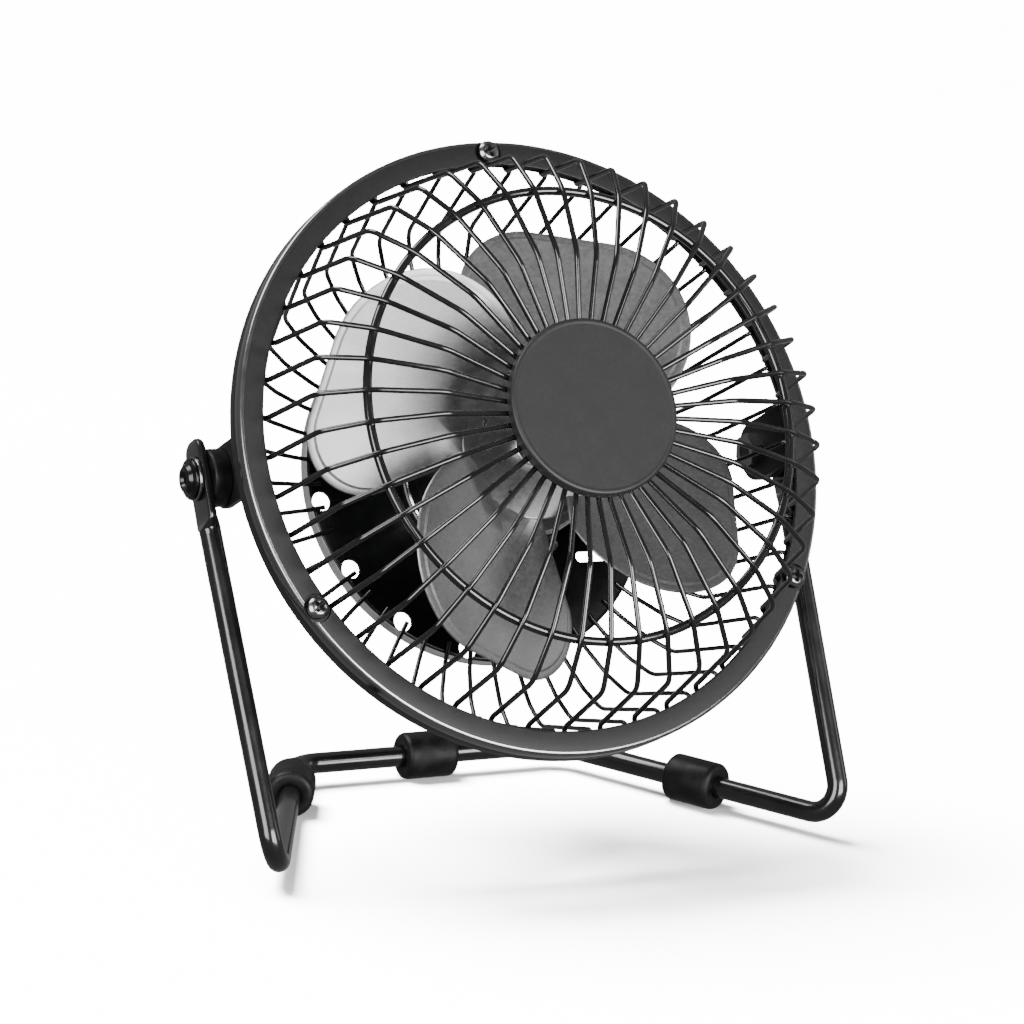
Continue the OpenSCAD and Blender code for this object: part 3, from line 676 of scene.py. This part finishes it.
def cross_cutter(arm, thick, depth):
    """Tapering cross-shaped recess, its mouth at z = 0."""
    outline = []
    for k in range(4):
        c = math.cos(k * math.pi / 2)
        s = math.sin(k * math.pi / 2)
        for x, y in ((arm, -thick), (arm, thick), (thick * 1.25, thick * 1.25)):
            outline.append((x * c - y * s, x * s + y * c))
    outline = np.array(outline)
    return prism([(outline * 0.35, -depth), (outline, 0), (outline, 1)])


def pan_head(radius, height):
    """Profile of a pan head standing on z = 0, ending on the axis."""
    flank = bent_path([[radius, 0], [radius * 0.985, height * 0.55], [radius * 0.66, height],
                       [0, height]], [0, height * 0.3, height * 0.55], 5)
    return [[0, 0], *flank.tolist()]


def rim_screws():
    """Pan-head screws with cross recesses and threaded shanks."""
    head = lathe(pan_head(SCREW_HEAD_R, SCREW_HEAD_HEIGHT), 48, closed=False)
    crest = 1.22
    valley = 1.02
    thread = [[0, -5.4], [1.0, -5.4]]
    for k in range(10):
        thread.extend([[crest, -5.2 + k * 0.5], [valley, -4.95 + k * 0.5]])
    thread.append([0, 0.05])
    shank = lathe(thread, 24, closed=False)
    cross_arm = 1.5
    cross = cross_cutter(cross_arm, 0.42, 1.2)
    screws = []
    cutters = []
    for twist, angle in zip((12, 43, 74), SCREW_ANGLES):
        at = polar(SCREW_CIRCLE, angle, RIM_Z)
        screws.append(moved(joined([head, shank]), at, twist))
        cutters.append(moved(cross, at + np.array([0, 0, SCREW_HEAD_HEIGHT]), twist))
    piece = mesh_object("rim_screw_set", joined(screws), FAN, 30)
    cut_away(piece, joined(cutters), FAN, 30)
    settle(piece, "head", "dark_zinc", "rim_screws")
    centres = [polar(SCREW_CIRCLE, a)[:2] for a in SCREW_ANGLES]
    below_top = RIM_Z + SCREW_HEAD_HEIGHT - 0.08
    # The faces inside each cross recess are painted near black: painted shade in the recess
    paint_faces(piece, "recess_painted_shade", lambda at: at[2] < below_top
                and min(np.linalg.norm(at[:2] - c) for c in centres) < cross_arm)


# ---------- cage ----------

def wire_set(corners, bends, radius, phase):
    """Bent wires in planes through the fan's axis, the first one at the phase in degrees."""
    flat = bent_path(corners, bends, 6)
    shapes = []
    for k in range(WIRE_COUNT):
        angle = math.radians(phase + 360 / WIRE_COUNT * k)
        path = np.column_stack([flat[:, 0] * math.cos(angle), flat[:, 0] * math.sin(angle), flat[:, 1]])
        across = (-math.sin(angle), math.cos(angle), 0)
        shapes.append(bar(path, radius, radius, 12, 2, across))
    return joined(shapes)



def front_wires():
    """Front wires: out of the rim, over a round shoulder, and in to the hub behind the badge."""
    flange_back = RIM_Z - RIM_SHEET
    hub = RIM_Z + 24.2
    corners = [[63, flange_back - 0.6], [60.8, flange_back - 0.6], [57.6, RIM_Z + 17.8],
               [48.2, RIM_Z + 23.9], [33.5, RIM_Z + 27.2], [19.2, hub + 0.7], [15.5, hub + 0.6]]
    shape = wire_set(corners, [0, 1.6, 4.5, 12, 9, 6], FRONT_WIRE_R, 0)
    piece = mesh_object("front_wire_set", shape, FAN, 60)
    settle(piece, "head", "wire_enamel", "front_guard_wires")


def rear_wires():
    """Rear wires: back from the rim's inside and in to the face of the rear plate."""
    flange = span("rear_ring", FAN)[1][2]
    corners = [[63, flange + 0.55], [61.1, flange + 0.55], [55.6, PLATE_Z + 5.4],
               [49.8, PLATE_Z + 2.1], [42.6, PLATE_Z + 0.48], [PLATE_R - 2.5, PLATE_Z + 0.46]]
    shape = wire_set(corners, [0, 1.4, 4, 6, 6], REAR_WIRE_R, -72 / WIRE_COUNT)
    piece = mesh_object("rear_wire_set", shape, FAN, 60)
    settle(piece, "head", "wire_enamel", "rear_guard_wires")


def support_ring():
    """Ring welded behind the front wires, with a small weld bead at each wire."""
    low, high = span("front_guard_ring", FAN)
    middle = (low[2] + high[2]) / 2
    radius = high[0] - 1
    ring = lathe(circle(SUPPORT_WIRE_R, 14) + np.array([radius, middle]), 230)
    bead = lathe([[0, -0.7], [0.6, -0.55], [0.85, 0], [0.6, 0.55], [0, 0.7]], 10, closed=False)
    bead_z = middle + 0.55
    beads = [moved(bead, polar(radius, 360 / WIRE_COUNT * k, bead_z)) for k in range(WIRE_COUNT)]
    piece = mesh_object("support_ring", joined([ring, *beads]), FAN, 50)
    settle(piece, "head", "wire_enamel", "front_guard_ring")


def guard_hub():
    """Disc that the front wires are welded to, with a hole for the badge's stud."""
    low, high = span("front_guard_hub", FAN)
    bore = 1.6
    outer = 18
    profile = rounded([[bore, low[2]], [bore, high[2]], [outer, high[2]], [outer, low[2]]],
                      [0.2, 0.2, 0.35, 0.35], 4)
    piece = mesh_object("wire_hub", lathe(profile, 160), FAN)
    settle(piece, "head", "wire_enamel", "front_guard_hub")


def badge():
    """Blank pressed cap with a low raised edge, a rounded corner and a centre stud."""
    wall_end = RIM_Z + 25.7
    r = BADGE_R
    top = BADGE_Z
    stud_r = 1.5
    stud_end = BADGE_LOW[2]
    boss_r = 3.4
    boss_end = stud_end + 1.6
    outside = bent_path([[0, top - 0.05], [r - 1.3, top - 0.05], [r - 0.9, top], [r, top],
                         [r, wall_end]], [0, 0.4, 0.4, 0.7], 7)
    inside = bent_path([[r - 0.8, wall_end], [r - 0.8, top - 1.3], [r - 1.5, top - 0.95],
                        [boss_r, top - 0.95], [boss_r, boss_end], [stud_r, boss_end],
                        [stud_r, stud_end], [0, stud_end]], [0, 0.4, 0.5, 0, 0, 0, 0], 3)
    profile = np.concatenate([outside, inside])
    piece = mesh_object("badge_cap", lathe(profile, 200, closed=False), FAN)
    settle(piece, "head", "badge_enamel", "badge")


def rear_plate():
    """Pan that closes the back of the cage: wall, vents, an oval slot and fastener holes."""
    r = PLATE_R
    back = PLATE_BACK
    inside = r - PAN_SHEET
    rear_face = PLATE_Z - PAN_SHEET
    neck_hole = 4.6
    profile = rounded([[neck_hole, rear_face], [neck_hole, PLATE_Z], [r, PLATE_Z], [r, back],
                       [inside, back], [inside, rear_face]], [0.2, 0.2, 1.0, 0.2, 0.2, 0.3], 5)
    piece = mesh_object("rear_pan", lathe(profile, 300), FAN)
    low = PLATE_Z - 2
    high = PLATE_Z + 1
    vent_angles = [start + 24 * k for start in (4, 184) for k in range(4)]
    cover_screw_angles = [45 + 90 * k for k in range(4)]
    motor_screw = drill(1.0, low, high, 36)
    slot = rounded([[-4, -1.2], [4, -1.2], [4, 1.2], [-4, 1.2]], [1.19] * 4, 8)
    holes = [
        around(drill(2.1, low, high, 36), r - 2.4, vent_angles),
        around(drill(1.2, low, high, 36), 20.6, cover_screw_angles),
        *[moved(motor_screw, (0, y * 8.5, 0)) for y in (-1, 1)],
        moved(prism([(slot, low), (slot, high)]), (24.1, -18.1, 0))
    ]
    cut_away(piece, joined(holes), FAN)
    settle(piece, "head", "plate_enamel", "rear_plate")
    # The pan's outer wall is painted pale metal: a painted reflection standing in for the bright surroundings seen
    # at a grazing angle
    paint_faces(piece, "pan_wall_reflection", lambda at: np.hypot(at[0], at[1]) > r - 0.15)


def paint_faces(piece, slot, chosen):
    """Gives one more material to the faces chosen by their middle in the fan's frame."""
    piece.data.materials.append(MATERIALS[slot])
    inverse = np.array(FAN.inverted())
    for face in piece.data.polygons:
        if chosen(inverse[:3, :3] @ np.array(face.center) + inverse[:3, 3]):
            face.material_index = len(piece.data.materials) - 1


# ---------- pivots ----------

def pivot_tab(side, name):
    """Sheet lug, round at the bolt, bent in from the rear ring."""
    root_z = span(name, HEAD)[1][2]
    arc = [polar(LUG_R, a)[:2] for a in np.linspace(90, 270, 25)]
    outline = np.array([*arc, [root_z, -LUG_R], [root_z, LUG_R]])
    verts, faces = soft_plate(outline, 0, LUG_SHEET, 0.22)
    outwards = side * (LUG_INSIDE_X + verts[:, 2])
    upright = np.column_stack([outwards, verts[:, 1], verts[:, 0]])
    piece = mesh_object(name + "_lug", (upright, faces), HEAD)
    cut_away(piece, drill(2.1, 61, 66), on_pivot(side))
    settle(piece, "head", "rim_enamel", name)


def pivot_stack(side, word):
    """Rubber spacer, washer and domed bolt with a dimple, on one side."""
    place = on_pivot(side)
    shank_r = 2
    low, high = span("pivot_spacer_" + word, place)
    spacer_r = 6.1
    spacer = rounded([[shank_r, low[2]], [spacer_r, low[2]], [spacer_r, high[2]], [shank_r, high[2]]],
                     [0, 0.5, 0.7, 0], 5)
    piece = mesh_object("spacer_" + word, lathe(spacer, 96), place)
    settle(piece, "head", "spacer_rubber", "pivot_spacer_" + word)
    low, high = span("pivot_washer_" + word, place)
    washer_r = 4.6
    washer = rounded([[shank_r, low[2]], [washer_r, low[2]], [washer_r, high[2]], [shank_r, high[2]]],
                     [0, 0.2, 0.3, 0], 4)
    piece = mesh_object("washer_" + word, lathe(washer, 72), place)
    settle(piece, "head", "dark_zinc", "pivot_washer_" + word)
    low, high = span("pivot_bolt_" + word, place)
    seat = high[2] - 2
    head_r = 4.35
    dome = bent_path([[shank_r, seat], [head_r, seat], [head_r, seat + 0.6], [3.7, seat + 1.1],
                      [3.3, seat + 1.0], [2.7, seat + 1.85], [1.9, seat + 2], [1.3, seat + 1.2],
                      [0, seat + 1.1]], [0, 0.1, 0.3, 0.2, 0.2, 0.4, 0.4, 0.3], 5)
    shank = [[0, low[2]], [shank_r - 0.3, low[2]], [shank_r, low[2] + 0.3]]
    piece = mesh_object("bolt_" + word, lathe([*shank, *dome.tolist()], 64, closed=False), place)
    settle(piece, "head", "bolt_black", "pivot_bolt_" + word)


# ---------- motor and impeller ----------

def motor_can():
    """Drawn steel cup with a rounded front edge, a neck and a groove near the back."""
    low, high = span("motor_can", FAN)
    r = high[0]
    back = low[2]
    neck = high[2]
    front = neck - 1.2
    groove_r = r - 0.35
    outside = bent_path([[4, neck], [4, front], [r, front], [r, back + 1.4], [groove_r, back + 1.1],
                         [groove_r, back + 0.8], [r, back + 0.5], [r, back]],
                        [0, 0.3, 1.6, 0.2, 0.1, 0.1, 0.1], 6)
    inner_r = r - CAN_SHEET
    inner_front = front - CAN_SHEET
    inside = [[inner_r, back], [inner_r, inner_front], [3, inner_front], [3, neck]]
    piece = mesh_object("motor_case", lathe([*outside.tolist(), *inside], 180), FAN)
    settle(piece, "head", "motor_steel", "motor_can")


def blade_outline():
    """Flat outline of a blade: X runs out along it, Y across it."""
    lobe = np.array([27, -11.5])
    lobe_r = 21
    tip = np.array([36.2, 4.5])
    tip_r = 13
    gap = tip - lobe
    lean = math.acos((lobe_r - tip_r) / np.linalg.norm(gap))
    touch = math.degrees(math.atan2(gap[1], gap[0]) - lean)
    first = [lobe + polar(lobe_r, a)[:2] for a in np.linspace(-160, touch, 40)]
    second = [tip + polar(tip_r, a)[:2] for a in np.linspace(touch, 112, 26)[1:]]
    root = bent_path([second[-1], [20, 9.5], [15.4, 4.6], [10, 3], [9, -8], first[0]],
                     [0, 6, 2.5, 0.5, 2], 5)[1:-1]
    outline = np.array([*first, *second, *root])
    radius = np.hypot(outline[:, 0], outline[:, 1])
    keep_out = 12.6
    push = np.where(radius < keep_out, keep_out / radius, 1)
    return outline * push[:, None]


def blade_height(points, inset):
    """Height of the sheet's middle: a hollow across the blade and a flange bent back at its edge."""
    hollow = 0.5 * ((points[:, 1] + 4) / 20) ** 2
    flange = -0.28 * smoothstep((inset - 0.917) / 0.018)
    return hollow + flange * smoothstep((points[:, 0] - 16) / 6)


def blade():
    """One closed sheet blade with rounded edges, twisted up out of the flat centre plate."""
    outline = blade_outline()
    middle = np.array([28.0, -5.0])
    # Outlines from the edge inwards: share of the full size, and half the sheet's thickness there
    rings = [(1.0, 0.0), (0.996, 0.3), (0.988, 0.4)]
    rings += [(share, 0.4) for share in (0.94, 0.935, 0.917, 0.912, 0.8, 0.65, 0.5, 0.35, 0.2, 0.08)]
    count = len(outline)
    levels = []
    for side in (1, -1):
        for inset, half in (rings if side == 1 else rings[1:]):
            flat = middle + (outline - middle) * inset
            height = blade_height(flat, inset) + side * half * BLADE_SHEET
            levels.append(np.column_stack([flat, height]))
    verts = np.concatenate(levels)
    order = [0, *range(len(rings), 2 * len(rings) - 1)]
    faces = []
    for chain in (list(range(len(rings))), order):
        for a, b in zip(chain, chain[1:]):
            for j in range(count):
                k = (j + 1) % count
                faces.append((a * count + j, a * count + k, b * count + k, b * count + j))
        faces.append(tuple(chain[-1] * count + j for j in range(count)))
    radius = np.hypot(verts[:, 0], verts[:, 1])
    twist_start = 14.5
    twist_length = 6
    lift = smoothstep((radius - twist_start) / twist_length)
    angle = np.radians(-BLADE_PITCH) * lift
    y = verts[:, 1].copy()
    flat_z = verts[:, 2] - blade_height(verts[:, :2], 0)
    z = verts[:, 2] * lift + flat_z * (1 - lift)
    verts[:, 1] = y * np.cos(angle) - z * np.sin(angle)
    verts[:, 2] = y * np.sin(angle) + z * np.cos(angle)
    return verts, faces


def impeller():
    """One aluminium stamping: a centre plate with four pitched blades and four small holes."""
    centre = HUB_Z + BLADE_SHEET / 2
    blades = [moved(blade(), (0, 0, centre), 75 + 90 * k) for k in range(4)]
    bore = 2.4
    low = HUB_Z - 0.03
    high = HUB_Z + BLADE_SHEET + 0.03
    plate = rounded([[bore, low], [bore, high], [FLAT_CENTRE_R, high], [FLAT_CENTRE_R, low]],
                    [0, 0, 0.4, 0.4], 4)
    swage_r = 8.2
    plate[:, 1] += 0.22 * np.exp(-((plate[:, 0] - swage_r) / 0.5) ** 2)
    middle = mesh_object("centre_plate", lathe(plate, 120), FAN)
    hole = drill(0.9, HUB_Z - 2, HUB_Z + 3, 24)
    cut_away(middle, around(hole, 11.5, [58 + 90 * k for k in range(4)]), FAN)
    piece = mesh_object("impeller_stamping", joined(blades), FAN, 40)
    edit = bmesh.new()
    edit.from_mesh(piece.data)
    edit.from_mesh(middle.data)
    edit.to_mesh(piece.data)
    edit.free()
    bpy.data.objects.remove(middle)
    piece.data.polygons.foreach_set("use_smooth", [True] * len(piece.data.polygons))
    piece.data.set_sharp_from_angle(angle=math.radians(40))
    settle(piece, "impeller", "blade_aluminium", "impeller_blades")


def impeller_collar():
    """Turned collar on the shaft, with a groove that holds the centre plate."""
    low, high = span("impeller_hub", FAN)
    bore = 1
    r = 4.2
    groove_r = 2.4
    plate_top = HUB_Z + BLADE_SHEET
    profile = rounded([[bore, low[2]], [r, low[2]], [r, HUB_Z], [groove_r, HUB_Z], [groove_r, plate_top],
                       [r, plate_top], [r, high[2]], [bore, high[2]]],
                      [0.2, 0.3, 0, 0, 0, 0, 0.5, 0.3], 4)
    piece = mesh_object("impeller_collar", lathe(profile, 72), FAN)
    settle(piece, "impeller", "hub_aluminium", "impeller_hub")


# ---------- studio ----------

def floor():
    """Plain pale floor, far larger than the view."""
    material = plain("studio_floor", (0.86, 0.86, 0.86), 0, 0.7)
    patch = grain(material, 600, 2)
    mottled(material, ranged(material, patch, 0, 1), (0.85, 0.85, 0.85), (0.88, 0.88, 0.88))
    reach = 9000
    sheet = prism([(circle(reach, 96), -20), (circle(reach, 96), 0)])
    piece = mesh_object("studio_floor", sheet, GROUND)
    piece.data.materials.append(material)
    # The floor is bright to look at but doesn't whiten the black paint
    piece.visible_glossy = False
    piece.visible_diffuse = False
    return piece


def softbox(name, at, aim, width, height, power):
    data = bpy.data.lights.new(name, "AREA")
    data.shape = "RECTANGLE"
    data.size = width
    data.size_y = height
    data.energy = power
    lamp = bpy.data.objects.new(name, data)
    bpy.context.scene.collection.objects.link(lamp)
    away = (Vector(at) - Vector(aim)).normalized()
    lamp.matrix_world = Matrix.Translation(Vector(at)) @ away.to_track_quat("Z", "Y").to_matrix().to_4x4()


def broad_sun(name, towards, strength, lit=None):
    """Soft light from one side, kept to one object if it is given."""
    data = bpy.data.lights.new(name, "SUN")
    data.energy = strength
    data.angle = math.radians(35)
    sun = bpy.data.objects.new(name, data)
    bpy.context.scene.collection.objects.link(sun)
    sun.matrix_world = Vector(towards).to_track_quat("Z", "Y").to_matrix().to_4x4()
    if lit is not None:
        only = bpy.data.collections.new(name + "_lights")
        only.objects.link(lit)
        sun.light_linking.receiver_collection = only


def light(ground):
    """A bright softbox in front, one on each side, a sun for the floor alone and one for everything."""
    world = bpy.data.worlds.new("studio_world")
    bpy.context.scene.world = world
    world.use_nodes = True
    background = world.node_tree.nodes["Background"]
    background.inputs["Color"].default_value = (1, 1, 1, 1)
    background.inputs["Strength"].default_value = 0.3
    softbox("front_box", (0.35, -1.55, 0.48), (0, 0, 0.48), 1.1, 0.95, 66)
    softbox("left_box", (-1.25, -0.85, 0.5), (0, 0, 0.5), 0.9, 0.95, 34)
    softbox("right_box", (1.5, -0.5, 0.5), (0, 0, 0.07), 0.3, 0.8, 2)
    broad_sun("floor_light", (-0.25, 0.5, 1), 60, ground)
    broad_sun("top_light", (-0.5, 0.45, 1), 3.5)


def camera():
    """A long lens a little above the fan, from its left."""
    focus = PIVOT + Vector((0, -0.06, -2.79)) * MM
    back = Vector((-0.4467, -0.8673, 0.2196)).normalized()
    level = Vector((-back.y, back.x, 0)).normalized()
    upright = back.cross(level)
    distance = 0.9705
    roll = math.radians(3.49)
    across = math.cos(roll) * level + math.sin(roll) * upright
    tall = math.cos(roll) * upright - math.sin(roll) * level
    data = bpy.data.cameras.new("camera")
    data.lens = 160
    data.sensor_width = 36
    data.shift_x = 0.0137
    data.shift_y = -0.0347
    data.clip_end = 30
    view = bpy.data.objects.new("camera", data)
    bpy.context.scene.collection.objects.link(view)
    turn = Matrix((across, tall, back)).transposed().to_4x4()
    view.matrix_world = Matrix.Translation(focus + back * distance) @ turn
    bpy.context.scene.camera = view


def build():
    finish_carried_nodes()
    stand_frame()
    sleeves()
    front_ring()
    rear_ring()
    rim_screws()
    front_wires()
    rear_wires()
    support_ring()
    guard_hub()
    badge()
    rear_plate()
    for side, word in ((-1, "left"), (1, "right")):
        pivot_tab(side, "pivot_tab_" + word)
        pivot_stack(side, word)
    motor_can()
    impeller()
    impeller_collar()
    light(floor())
    camera()


build()
